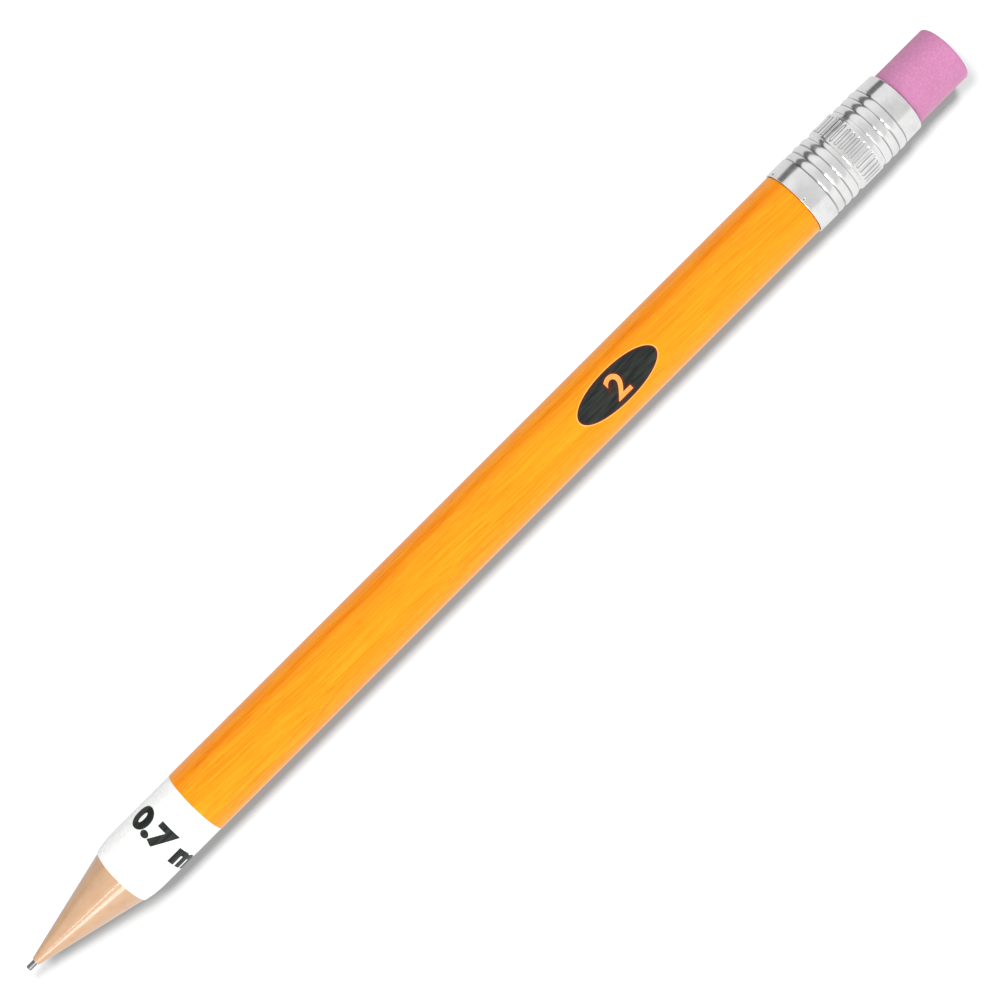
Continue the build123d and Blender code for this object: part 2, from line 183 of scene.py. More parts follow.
def add_node(tree, kind, inputs=None, **settings):
    """Adds a shader node, with its settings and the values of its inputs."""
    made = tree.nodes.new(kind)
    for setting, value in settings.items():
        setattr(made, setting, value)
    for socket, value in (inputs or {}).items():
        if isinstance(value, bpy.types.NodeSocket):
            tree.links.new(value, made.inputs[socket])
        else:
            made.inputs[socket].default_value = value
    return made


def start_material(name, **values):
    """A new material with its shader's uniform values set. Returns it with its node tree and shader."""
    material = bpy.data.materials.new(name)
    material.use_nodes = True
    tree = material.node_tree
    shader = tree.nodes["Principled BSDF"]
    for socket, value in values.items():
        shader.inputs[socket.replace("_", " ")].default_value = value
    return material, tree, shader


def stretched(tree, scale, turn_degrees=(0, 0, 0)):
    """Object coordinates measured from the long axis, scaled along and across the pencil."""
    place = add_node(tree, "ShaderNodeTexCoord").outputs["Object"]
    mapping = add_node(tree, "ShaderNodeMapping", {"Vector": place})
    mapping.inputs["Location"].default_value = (0, 0, -AXIS_Z * scale[2])
    mapping.inputs["Rotation"].default_value = [math.radians(a) for a in turn_degrees]
    mapping.inputs["Scale"].default_value = scale
    return mapping.outputs["Vector"]


def noise_value(tree, vector, scale, detail=3.0, roughness=0.5, distortion=0.0):
    """A noise field between 0 and 1."""
    inputs = {
        "Vector": vector, "Scale": scale, "Detail": detail, "Roughness": roughness, "Distortion": distortion,
    }
    return add_node(tree, "ShaderNodeTexNoise", inputs).outputs["Fac"]


def ramp(tree, factor, stops, interpolation="LINEAR"):
    """A colour ramp from (position, colour) stops."""
    made = add_node(tree, "ShaderNodeValToRGB", {"Fac": factor})
    made.color_ramp.interpolation = interpolation
    elements = made.color_ramp.elements
    while len(elements) < len(stops):
        elements.new(1.0)
    for element, (position, colour) in zip(elements, stops):
        element.position = position
        element.color = (*colour, 1.0)
    return made.outputs["Color"]


def grey(value):
    """A grey colour."""
    return (value, value, value)


def remap(tree, value, low, high, to_low, to_high):
    """Maps one range of a value onto another, clamped at both ends."""
    inputs = {"Value": value, "From Min": low, "From Max": high, "To Min": to_low, "To Max": to_high}
    return add_node(tree, "ShaderNodeMapRange", inputs).outputs["Result"]


def combine(tree, operation, *values):
    """Values joined by a maths operation."""
    made = add_node(tree, "ShaderNodeMath", operation=operation)
    for socket, value in zip(made.inputs, values):
        if isinstance(value, bpy.types.NodeSocket):
            tree.links.new(value, socket)
        else:
            socket.default_value = value
    return made.outputs["Value"]


def blend_colours(tree, factor, first, second, mode="MIX"):
    """Mixes two colours by a factor."""
    made = add_node(tree, "ShaderNodeMix", data_type="RGBA", blend_type=mode)
    for socket, value in ((made.inputs[0], factor), (made.inputs[6], first), (made.inputs[7], second)):
        if isinstance(value, bpy.types.NodeSocket):
            tree.links.new(value, socket)
        elif socket == made.inputs[0]:
            socket.default_value = value
        else:
            socket.default_value = (*value, 1.0)
    return made.outputs[2]


def bump(tree, height, depth):
    """A normal bent by a height field of a given depth in metres."""
    return add_node(tree, "ShaderNodeBump", {"Height": height, "Distance": depth}).outputs["Normal"]


def link_shader(tree, shader, **sockets):
    """Links nodes to a shader's inputs."""
    for socket, value in sockets.items():
        tree.links.new(value, shader.inputs[socket.replace("_", " ")])


def lacquered_wood(settings):
    """Orange lacquer over fine wood grain: long streaks, short pores and slow drifts of colour."""
    material, tree, shader = start_material(
        "lacquered_wood",
        Coat_Weight=settings.lacquer,
        Coat_Roughness=0.06,
        Coat_IOR=1.5,
        IOR=1.8,
        Specular_IOR_Level=1.0,
        Specular_Tint=(1.0, 0.62, 0.06, 1.0),
    )
    across = 1.0 / settings.grain_width
    along = 1.0 / settings.grain_length
    drift = add_node(
        tree, "ShaderNodeTexNoise", {"Vector": stretched(tree, (45, 130, 130)), "Scale": 1.0, "Detail": 3.0}
    ).outputs["Color"]
    wander = blend_colours(tree, 0.0011, stretched(tree, (1, 1, 1), (0, 0, 2.0)), drift, "ADD")
    strands = add_node(tree, "ShaderNodeMapping", {"Vector": wander})
    strands.inputs["Scale"].default_value = (along, across, across)
    grain = noise_value(tree, strands.outputs["Vector"], 1.0, 2.0, 0.6)
    figure = add_node(tree, "ShaderNodeMapping", {"Vector": wander})
    figure.inputs["Scale"].default_value = (along * 0.3, across * 0.22, across * 0.22)
    broad = noise_value(tree, figure.outputs["Vector"], 1.0, 3.0, 0.55)
    slow = noise_value(tree, stretched(tree, (26, 150, 150)), 1.0, 2.0)
    pores = noise_value(tree, stretched(tree, (520, 9500, 9500), (0, 0, 2.0)), 1.0, 1.0, 0.5)
    streaks = ramp(
        tree,
        grain,
        [(0.38, settings.wood_dark), (0.50, settings.wood_middle), (0.62, settings.wood_light)],
    )
    figured = blend_colours(tree, remap(tree, broad, 0.40, 0.66, 0.0, 0.42), streaks, settings.wood_dark)
    drifted = blend_colours(tree, remap(tree, slow, 0.38, 0.66, 0.0, 0.38), figured, settings.wood_light)
    pored = blend_colours(
        tree, remap(tree, pores, 0.62, 0.74, 0.0, 0.45), drifted, [c * 0.6 for c in settings.wood_dark]
    )
    ripple = noise_value(tree, stretched(tree, (70, 420, 420)), 1.0, 2.0)
    link_shader(
        tree,
        shader,
        Base_Color=pored,
        Roughness=remap(tree, grain, 0.3, 0.7, 0.24, 0.16),
        Normal=bump(tree, grain, 2.5e-6),
        Coat_Normal=bump(tree, ripple, 3e-6),
    )
    return material


def glossy_plastic(name, colour, shade, speckle_scale, ripple_depth, roughness=0.22, coat=0.6):
    """Moulded plastic: a faint mottle, flow marks along the pencil and a polished skin."""
    material, tree, shader = start_material(
        name, Coat_Weight=coat, Coat_Roughness=0.05, Coat_IOR=1.5, Specular_IOR_Level=0.4
    )
    mottle = noise_value(tree, stretched(tree, (900, 900, 900)), speckle_scale, 4.0, 0.65)
    flow = noise_value(tree, stretched(tree, (120, 1500, 1500)), 1.0, 3.0)
    tone = combine(tree, "ADD", combine(tree, "MULTIPLY", mottle, 0.5), combine(tree, "MULTIPLY", flow, 0.5))
    ripple = noise_value(tree, stretched(tree, (150, 420, 420)), 1.0, 2.0)
    skin = bump(tree, ripple, ripple_depth)
    link_shader(
        tree,
        shader,
        Base_Color=ramp(tree, tone, [(0.35, shade), (0.62, colour)]),
        Roughness=remap(tree, mottle, 0.3, 0.7, roughness, roughness + 0.12),
        Normal=skin,
        Coat_Normal=skin,
    )
    return material


def matte_plastic(name, colour, roughness=0.5):
    """Plain moulded plastic for the hidden pieces, with a fine spark-eroded texture."""
    material, tree, shader = start_material(name, Specular_IOR_Level=0.4)
    texture = noise_value(tree, stretched(tree, (5200, 5200, 5200)), 1.0, 3.0, 0.6)
    cloud = noise_value(tree, stretched(tree, (300, 300, 300)), 1.0, 2.0)
    darker = [c * 0.82 for c in colour]
    link_shader(
        tree,
        shader,
        Base_Color=ramp(tree, cloud, [(0.3, darker), (0.7, colour)]),
        Roughness=remap(tree, texture, 0.3, 0.7, roughness - 0.08, roughness + 0.1),
        Normal=bump(tree, texture, 6e-6),
    )
    return material


def rolled_metal(name, colour, shade, line_scale, roughness, line_depth, smudge=0.12):
    """Drawn or turned metal: lines round the pencil, soft smudges and a little dulling."""
    material, tree, shader = start_material(name, Metallic=1.0)
    lines = noise_value(tree, stretched(tree, (line_scale, 160, 160)), 1.0, 5.0, 0.6)
    smudges = noise_value(tree, stretched(tree, (500, 420, 420)), 1.0, 3.0, 0.6, 0.4)
    specks = noise_value(tree, stretched(tree, (5200, 5200, 5200)), 1.0, 2.0, 0.5)
    tone = ramp(tree, smudges, [(0.32, shade), (0.58, colour)])
    specked = blend_colours(
        tree, remap(tree, specks, 0.66, 0.78, 0.0, 0.35), tone, [c * 0.6 for c in shade]
    )
    rough = combine(
        tree,
        "ADD",
        remap(tree, lines, 0.3, 0.7, roughness, roughness + 0.08),
        remap(tree, smudges, 0.4, 0.7, 0.0, smudge),
    )
    link_shader(tree, shader, Base_Color=specked, Roughness=rough, Normal=bump(tree, lines, line_depth))
    return material, tree, shader


# each zone of the ferrule from the front, as its start along the length and the radius below which
# shade is painted darker into the metal, measured from the base radius in parts of the span
PAINTED_SHADE_BASE, PAINTED_SHADE_SPAN = 4.0 * MM, 0.5 * MM
PAINTED_SHADE_ZONES = [
    (0.0, 0.70), (0.165, 0.56), (0.383, 0.0), (0.418, 0.56), (0.612, 0.0), (0.637, 0.36), (0.855, 0.0),
]


def ferrule_metal(settings):
    """Bright rolled aluminium with shade painted darker into its grooves, flutes and dents."""
    material, tree, shader = rolled_metal(
        "ferrule_aluminium", settings.silver, settings.silver_shade, 5200, 0.11, 1.5e-6
    )
    out = add_node(tree, "ShaderNodeVectorMath", {"Vector": stretched(tree, (0, 1, 1))}, operation="LENGTH")
    along = add_node(tree, "ShaderNodeSeparateXYZ", {"Vector": stretched(tree, (1, 1, 1))}).outputs["X"]
    place = remap(tree, along, FERRULE_FRONT, FERRULE_REAR, 0.0, 1.0)
    level = ramp(tree, place, [(at, grey(value)) for at, value in PAINTED_SHADE_ZONES], "CONSTANT")
    crest = combine(tree, "MULTIPLY_ADD", level, PAINTED_SHADE_SPAN, PAINTED_SHADE_BASE)
    depth = combine(tree, "SUBTRACT", crest, out.outputs["Value"])
    # painted shade: the walls of a groove are painted dark as if in shade, and its floor is left bright
    sunk = remap(tree, depth, 0.0, settings.flute_depth, 0.0, 1.0)
    shade_by_depth = [(0.0, 0.0), (0.12, 0.80), (0.34, 0.80), (0.54, 0.05)]
    painted_shade = ramp(tree, sunk, [(at, grey(value)) for at, value in shade_by_depth])
    bright = shader.inputs["Base Color"].links[0].from_socket
    link_shader(tree, shader, Base_Color=blend_colours(tree, painted_shade, bright, settings.groove))
    return material


def eraser_rubber(settings):
    """Soft pink rubber: powdery grain, pale and dark specks and a chalky bloom."""
    material, tree, shader = start_material(
        "eraser_rubber",
        Specular_IOR_Level=0.2,
        Sheen_Weight=0.25,
        Sheen_Roughness=0.5,
        Sheen_Tint=(1.0, 0.85, 0.93, 1.0),
    )
    powder = noise_value(tree, stretched(tree, (3800, 3800, 3800)), 1.0, 4.0, 0.7)
    patches = noise_value(tree, stretched(tree, (420, 420, 420)), 1.0, 3.0, 0.6)
    pale = noise_value(tree, stretched(tree, (7000, 7000, 7000)), 1.0, 2.0)
    base = ramp(tree, powder, [(0.28, settings.pink_dark), (0.52, settings.pink), (0.76, settings.pink_pale)])
    patched = blend_colours(tree, remap(tree, patches, 0.4, 0.7, 0.0, 0.35), base, settings.pink_dark)
    bloomed = blend_colours(tree, remap(tree, pale, 0.62, 0.76, 0.0, 0.5), patched, settings.pink_pale)
    pits = combine(tree, "ADD", powder, combine(tree, "MULTIPLY", patches, 1.5))
    link_shader(
        tree,
        shader,
        Base_Color=bloomed,
        Roughness=remap(tree, powder, 0.3, 0.7, 0.72, 0.9),
        Normal=bump(tree, pits, 15e-6),
    )
    return material


def graphite():
    """Polymer lead: dark grey with a soft metal sheen and lines drawn along it."""
    material, tree, shader = start_material("graphite_lead", Metallic=0.8, Specular_IOR_Level=0.6)
    lines = noise_value(tree, stretched(tree, (260, 12000, 12000)), 1.0, 3.0)
    grit = noise_value(tree, stretched(tree, (9000, 9000, 9000)), 1.0, 2.0)
    link_shader(
        tree,
        shader,
        Base_Color=ramp(tree, lines, [(0.3, (0.13, 0.13, 0.14)), (0.7, (0.30, 0.30, 0.32))]),
        Roughness=remap(tree, grit, 0.3, 0.7, 0.2, 0.36),
        Normal=bump(tree, combine(tree, "ADD", lines, grit), 5e-6),
    )
    return material


def printing_ink(name, colour, thin_colour):
    """Gloss ink with slightly uneven cover."""
    material, tree, shader = start_material(
        name, Coat_Weight=0.2, Coat_Roughness=0.08, Specular_IOR_Level=0.25
    )
    cover = noise_value(tree, stretched(tree, (260, 2600, 2600)), 1.0, 3.0, 0.6)
    link_shader(
        tree,
        shader,
        Base_Color=ramp(tree, cover, [(0.34, thin_colour), (0.60, colour)]),
        Roughness=remap(tree, cover, 0.3, 0.7, 0.48, 0.34),
        Normal=bump(tree, cover, 3e-6),
    )
    return material


def soft_rubber():
    """Black rubber with a dull, faintly dusty skin."""
    material, tree, shader = start_material("retainer_rubber", Specular_IOR_Level=0.3)
    dust = noise_value(tree, stretched(tree, (4200, 4200, 4200)), 1.0, 4.0, 0.7)
    link_shader(
        tree,
        shader,
        Base_Color=ramp(tree, dust, [(0.35, grey(0.016)), (0.75, grey(0.05))]),
        Roughness=remap(tree, dust, 0.3, 0.7, 0.6, 0.8),
        Normal=bump(tree, dust, 8e-6),
    )
    return material


# ---------------------------------------------------------------- settings


def length(name, description, default, low=0.0):
    """A length in metres."""
    return FloatProperty(
        name=name, description=description, default=default, min=low, unit="LENGTH", precision=5
    )


def offset(name, description, default):
    """A length in metres that may be negative."""
    return FloatProperty(name=name, description=description, default=default, unit="LENGTH", precision=5)


def angle(name, description, degrees):
    """An angle, given in degrees."""
    return FloatProperty(name=name, description=description, default=math.radians(degrees), subtype="ANGLE")


def count(name, description, default, least=1):
    """A whole number of things."""
    return IntProperty(name=name, description=description, default=default, min=least)


def share(name, description, default):
    """A part of a whole, from 0 to 1."""
    return FloatProperty(
        name=name, description=description, default=default, min=0.0, max=1.0, subtype="FACTOR"
    )


def colour(name, description, default):
    """A linear colour."""
    return FloatVectorProperty(
        name=name, description=description, default=default, size=3, min=0.0, max=1.0, subtype="COLOR"
    )


class BarrelSettings(bpy.types.PropertyGroup):
    """The wooden barrel."""

    facets: count("Facets", "Flat faces round the barrel", 192, 24)
    bore: length("Bore", "Radius of the hole for the works", 3.27 * MM)
    seat: length("Ferrule seat", "Radius of the stepped-down end under the ferrule", 4.08 * MM)
    edge: length("Edge", "Rounding of the front edge", 0.10 * MM)
    gap: length("Gap", "Dark gap in front of the ferrule", 0.10 * MM)
    grain_width: length("Grain width", "Typical width of a grain streak", 0.14 * MM)
    grain_length: length("Grain length", "Typical length of a grain streak", 9.0 * MM)
    lacquer: share("Lacquer", "Weight of the clear lacquer", 0.06)
    wood_light: colour("Light grain", "Palest streaks of the grain", (0.97, 0.330, 0.0110))
    wood_middle: colour("Middle grain", "Main colour of the barrel", (0.95, 0.280, 0.0080))
    wood_dark: colour("Dark grain", "Deepest streaks of the grain", (0.89, 0.195, 0.0045))


class CollarSettings(bpy.types.PropertyGroup):
    """The white front collar."""

    facets: count("Facets", "Flat faces round the collar", 192, 24)
    radius: length("Radius", "Radius of the parallel part", 4.20 * MM)
    lip: length("Lip", "Radius at the mouth", 3.86 * MM)
    shoulder: length("Shoulder", "Length of the convex shoulder", 2.9 * MM)
    lip_round: length("Lip rounding", "Rounding of the mouth's edge", 0.16 * MM)
    mouth_bore: length("Mouth bore", "Radius of the recess that the cone's pilot fills", 3.34 * MM)
    mouth_depth: length("Mouth depth", "Depth of that recess", 0.79 * MM)
    thread_bore: length("Thread bore", "Radius at the bottom of the thread", 3.31 * MM)
    rear_bore: length("Rear bore", "Radius of the bore behind the thread", 2.57 * MM)
    white: colour("White", "Main colour", (0.90, 0.90, 0.895))
    white_shade: colour("White shade", "Faintly darker mottle", (0.84, 0.84, 0.83))


class ConeSettings(bpy.types.PropertyGroup):
    """The tan nose cone."""

    facets: count("Facets", "Flat faces round the cone", 192, 24)
    tip: length("Tip", "Radius at the lead", 0.52 * MM)
    base: length("Base", "Radius at the collar", 3.74 * MM)
    guide: length("Guide", "Radius of the hole that guides the lead", 0.38 * MM)
    pilot: length("Pilot", "Radius of the plain land behind the base", 3.25 * MM)
    room: length("Room", "Radius of the room that takes the sleeve", 2.30 * MM)
    passage: length("Passage", "Radius of the passage behind the lead retainer", 1.50 * MM)
    chamfer: length("Chamfer", "Chamfer at the end of the spigot", 0.15 * MM)
    spigot: length("Spigot", "Radius of the screwed spigot", 2.85 * MM)
    pitch: length("Pitch", "Advance of the thread in one turn", 1.0 * MM)
    crest: length("Crest", "Radius of the thread's crest", 3.22 * MM)
    turns: count("Turns", "Turns of thread on the spigot", 4)
    tan: colour("Tan", "Main colour", (0.525, 0.325, 0.190))
    tan_shade: colour("Tan shade", "Darker flow marks", (0.480, 0.285, 0.160))


class FerruleSettings(bpy.types.PropertyGroup):
    """The rolled aluminium ferrule."""

    band: length("Band", "Radius of the front band", 4.42 * MM)
    band_length: length("Band length", "Length of the front band", 2.65 * MM)
    fluted: length("Fluted band", "Radius of the fluted band", 4.34 * MM)
    flutes_from: length("Flutes from", "From the front to the start of the fluted band", 6.9 * MM)
    flutes_to: length("Flutes to", "From the front to the end of the fluted band", 10.0 * MM)
    mouth: length("Mouth", "Radius at the mouth", 4.11 * MM)
    mouth_from: length("Mouth from", "From the front to the start of the plain mouth", 14.3 * MM)
    lip: length("Lip", "Rounding of both ends", 0.09 * MM)
    wall: length("Wall", "Thickness of the sheet", 0.20 * MM)
    beads: count("Beads", "Beads in each row", 3)
    bead_pitch: length("Bead pitch", "Length of one bead", 1.15 * MM)
    neck: length("Neck", "Radius of the plain necks", 4.16 * MM)
    flutes: count("Flutes", "Flutes round the band", 36, 6)
    flute_length: length("Flute length", "Length of one flute", 2.55 * MM)
    flute_width: length("Flute width", "Width of one flute", 0.45 * MM)
    flute_depth: length("Flute depth", "Depth of one flute", 0.14 * MM)
    dents: count("Dents", "Crimping dents round the front edge", 5)
    dent_from: length("Dent place", "From the front edge to the dents", 0.36 * MM)
    dent_size: length("Dent size", "Radius of one dent", 0.17 * MM)
    dent_depth: length("Dent depth", "Depth of the crimping dents", 0.13 * MM)
    waver: length("Waver", "Uneven rolling of the sheet", 0.026 * MM)
    silver: colour("Silver", "Bright aluminium", (0.93, 0.93, 0.925))
    silver_shade: colour("Silver shade", "Duller patches", (0.83, 0.835, 0.83))
    # painted shade: the dark colour painted into the grooves, flutes and dents to stand for shade
    groove: colour("Groove", "Dull metal in the grooves and flutes", (0.30, 0.31, 0.31))


class EraserSettings(bpy.types.PropertyGroup):
    """The pink eraser."""

    facets: count("Facets", "Flat faces round the eraser", 144, 24)
    radius: length("Radius", "Radius of the part that shows", 3.72 * MM)
    waist: length("Waist", "Radius inside the ferrule", 3.55 * MM)
    plug: length("Plug", "Radius of the plug in the holder", 2.41 * MM)
    edge: length("Edge", "Rounding of the rubbing edge", 0.32 * MM)
    dome: length("Dome", "Height of the end's slight dome", 0.10 * MM)
    pink: colour("Pink", "Main colour", (0.530, 0.205, 0.375))
    pink_dark: colour("Dark pink", "Darker grains", (0.460, 0.165, 0.315))
    pink_pale: colour("Pale pink", "Chalky grains", (0.620, 0.290, 0.465))


class SpringSettings(bpy.types.PropertyGroup):
    """The return spring."""

    facets: count("Facets", "Steps in one turn of the coil", 40, 12)
    turns: count("Turns", "Turns of the coil", 10)
    wire: length("Wire", "Thickness of the wire", 0.34 * MM)
    press: length("Press", "How far the push rod comes forward", 3.2 * MM)


class LeadSettings(bpy.types.PropertyGroup):
    """The writing lead."""

    facets: count("Facets", "Flat faces round the lead", 64, 12)
    radius: length("Radius", "Radius of the lead", 0.35 * MM)
    edge: length("Edge", "Rounding of its ends", 0.07 * MM)


class PrintSettings(bpy.types.PropertyGroup):
    """The printed oval and numerals."""

    lift: length("Lift", "Height of the ink above the surface", 0.012 * MM)
    oval_length: length("Oval length", "Length of the oval along the barrel", 11.9 * MM)
    oval_width: length("Oval width", "Width of the oval round the barrel", 4.46 * MM)
    rim: length("Rim", "Width of the pale rim round the oval", 0.16 * MM)
    edge: length("Edge", "Width of the dark red line round a printed shape", 0.19 * MM)
    oval_from_front: length("Oval place", "From the barrel's front to the oval's middle", 66.77 * MM)
    oval_angle: angle("Oval angle", "Turn of the oval round the barrel", -5.8)
    grade: StringProperty(name="Grade", description="Numeral in the oval", default="2")
    grade_height: length("Grade height", "Height of the numeral", 3.05 * MM)
    grade_width: length("Grade width", "Width of the numeral", 2.15 * MM)
    grade_weight: share("Grade weight", "Boldness of the numeral", 0.018)
    edge_weight: share("Edge weight", "Boldness of the line round the numeral", 0.075)
    size_mark: StringProperty(name="Size marking", description="Lead size on the collar", default="0.7 mm")
    size_height: length("Marking height", "Height of the marking along the collar", 3.05 * MM)
    size_width: length("Marking width", "Width of the marking round the collar", 14.2 * MM)
    size_angle: angle("Marking angle", "Turn of the marking round the collar", -36.0)
    size_weight: share("Marking weight", "Boldness of the marking", 0.060)
    size_from_rear: length("Marking place", "From the collar's shown rear edge to the marking", 4.95 * MM)
    black: colour("Black ink", "Ink of the oval and the marking", (0.004, 0.006, 0.005))
    black_thin: colour("Thin black ink", "Black ink where it is thin", (0.024, 0.030, 0.025))
    orange: colour("Orange ink", "Ink of the numeral", (0.93, 0.36, 0.075))
    orange_thin: colour("Thin orange ink", "Orange ink where it is thin", (0.86, 0.28, 0.045))
    edge_red: colour("Edge ink", "Dark red line round the printed shapes", (0.060, 0.004, 0.003))
    pale: colour("Rim ink", "Pale rim round the oval", (0.97, 0.42, 0.080))


class StageSettings(bpy.types.PropertyGroup):
    """The floor, the lights and the camera."""

    distance: length("Distance", "From the camera to the middle of the view", 0.280)
    view_width: length("View width", "Width of the view at the pencil", 0.1134)
    foot: offset("Foot", "How far the camera stands towards the eraser from its aim", -4.3 * MM)
    aim_x: offset("Aim X", "Middle of the view along the pencil", 1.57 * MM)
    aim_y: offset("Aim Y", "Middle of the view across the pencil", -0.22 * MM)
    turn: angle("Turn", "Turn of the view about the vertical", -45)
    floor_size: length("Floor size", "Side of the square floor", 4.0)
    shadow_tilt: angle("Shadow tilt", "Lean of the lights that cast the shadow", 15.5)
    shadow_spread: angle("Shadow spread", "Lean of those two lights along the pencil", 16)


class PencilSettings(bpy.types.PropertyGroup):
    """Everything that a user would change."""

    barrel: PointerProperty(type=BarrelSettings)
    collar: PointerProperty(type=CollarSettings)
    cone: PointerProperty(type=ConeSettings)
    ferrule: PointerProperty(type=FerruleSettings)
    eraser: PointerProperty(type=EraserSettings)
    spring: PointerProperty(type=SpringSettings)
    lead: PointerProperty(type=LeadSettings)
    prints: PointerProperty(type=PrintSettings)
    stage: PointerProperty(type=StageSettings)


# ---------------------------------------------------------------- barrel, collar, cone and lead


class PENCIL_OT_barrel(bpy.types.Operator):
    """Builds the lacquered wooden barrel"""

    bl_idname = "pencil.barrel"
    bl_label = "Barrel"

    def execute(self, context):
        s = context.scene.pencil.barrel
        radius = radius_of("barrel")
        start, end = BARREL_FRONT + s.edge, FERRULE_FRONT - s.gap
        outline = [
            (BARREL_FRONT, s.bore),
            *arc((BARREL_FRONT + s.edge, radius - s.edge), s.edge, 180, 90, 5),
            *[(start + (end - start) * step / 24, radius) for step in range(1, 25)],
            (end, s.seat),
            (BARREL_END, s.seat),
            (BARREL_END, s.bore),
        ]
        piece = finished(turned(outline, s.facets), "barrel_tube", lacquered_wood(s), "case")
        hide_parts("barrel")
        return {"FINISHED"}


class PENCIL_OT_collar(bpy.types.Operator):
    """Builds the white collar with its screwed mouth"""

    bl_idname = "pencil.collar"
    bl_label = "Front collar"

    def execute(self, context):
        s = context.scene.pencil.collar
        cone = context.scene.pencil.cone
        rise = s.radius - s.lip
        sweep = (s.shoulder**2 + rise**2) / (2 * rise)
        slant = math.degrees(math.asin((s.shoulder - s.lip_round) / sweep))
        shoulder_end = COLLAR_FRONT + s.shoulder
        shoulder = arc((shoulder_end, s.radius - sweep), sweep, 90 + slant, 90, 14)
        lip_centre = (COLLAR_FRONT + s.lip_round, shoulder[0][1] - s.lip_round)
        lip = arc(lip_centre, s.lip_round, 180, 104, 5)
        spigot = s.thread_bore - 0.06 * MM
        outline = [
            (COLLAR_FRONT, s.mouth_bore),
            *lip,
            *shoulder,
            (BARREL_FRONT, s.radius),
            (BARREL_FRONT, spigot),
            (COLLAR_END, spigot),
            (COLLAR_END, s.rear_bore),
            (CONE_END + 1.1 * MM, s.rear_bore),
            (CONE_END + 1.1 * MM, s.thread_bore - 0.12 * MM),
            (CONE_END + 0.1 * MM, s.thread_bore - 0.12 * MM),
            (CONE_END + 0.1 * MM, s.thread_bore),
            (COLLAR_FRONT + s.mouth_depth, s.thread_bore),
            (COLLAR_FRONT + s.mouth_depth, s.mouth_bore),
        ]
        bm = turned(outline, s.facets)
        screw_ridge(
            bm,
            COLLAR_FRONT + s.mouth_depth + 0.9 * cone.pitch,
            cone.turns + 0.5,
            cone.pitch,
            s.thread_bore + 0.04 * MM,
            cone.spigot + 0.17 * MM,
            0.56 * MM,
            0.36 * MM,
        )
        material = glossy_plastic("collar_white", s.white, s.white_shade, 1.4, 6e-6)
        piece = finished(bm, "collar_shell", material, "case")
        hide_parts("front_collar")
        return {"FINISHED"}


class PENCIL_OT_cone(bpy.types.Operator):
    """Builds the tan nose cone with its screwed spigot"""

    bl_idname = "pencil.cone"
    bl_label = "Nose cone"

    def execute(self, context):
        s = context.scene.pencil.cone
        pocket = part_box("lead_retainer")
        pocket_radius = radius_of("lead_retainer") + 0.02 * MM
        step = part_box("clutch_sleeve")[0].x - 0.15 * MM
        pilot_end = COLLAR_FRONT + 0.7 * MM
        tip_round = 0.07 * MM
        outline = [
            (CONE_TIP, s.guide),
            *arc((CONE_TIP + tip_round, s.tip - tip_round), tip_round, 180, 104, 5),
            *[
                (
                    CONE_TIP + (COLLAR_FRONT - CONE_TIP) * part / 16,
                    s.tip + (s.base - s.tip) * part / 16,
                )
                for part in range(1, 17)
            ],
            (COLLAR_FRONT, s.pilot),
            (pilot_end, s.pilot),
            (pilot_end, s.spigot),
            (CONE_END - s.chamfer, s.spigot),
            (CONE_END, s.spigot - s.chamfer),
            (CONE_END, s.room),
            (step, s.room),
            (step, s.passage),
            (pocket[1].x + 0.1 * MM, s.passage),
            (pocket[1].x + 0.1 * MM, pocket_radius),
            (pocket[0].x - 0.05 * MM, pocket_radius),
            (pocket[0].x - 0.05 * MM, s.guide),
        ]
        bm = turned(outline, s.facets)
        screw_ridge(
            bm, pilot_end + 0.4 * MM, s.turns, s.pitch, s.spigot - 0.08 * MM, s.crest, 0.60 * MM, 0.24 * MM
        )
        material = glossy_plastic("cone_tan", s.tan, s.tan_shade, 0.8, 0.5e-6, 0.26, 0.7)
        piece = finished(bm, "cone_shell", material, "nose")
        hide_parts("nose_cone")
        return {"FINISHED"}


class PENCIL_OT_leads(bpy.types.Operator):
    """Builds the writing lead and finishes the spare leads"""

    bl_idname = "pencil.leads"
    bl_label = "Leads"

    def execute(self, context):
        s = context.scene.pencil.lead
        outline = [
            (LEAD_TIP, 0.0),
            (LEAD_TIP, s.radius - 3 * s.edge),
            *arc((LEAD_TIP + s.edge, s.radius - s.edge), s.edge, 180, 90, 4),
            *arc((LEAD_END - s.edge, s.radius - s.edge), s.edge, 90, 0, 4),
            (LEAD_END, 0.0),
        ]
        material = graphite()
        piece = finished(turned(outline, s.facets, closed=False), "lead_core", material, "lead")
        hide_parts("writing_lead")
        for name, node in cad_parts.items():
            if name.startswith("spare_lead"):
                node.data.materials[0] = material
        return {"FINISHED"}


# ---------------------------------------------------------------- ferrule and eraser


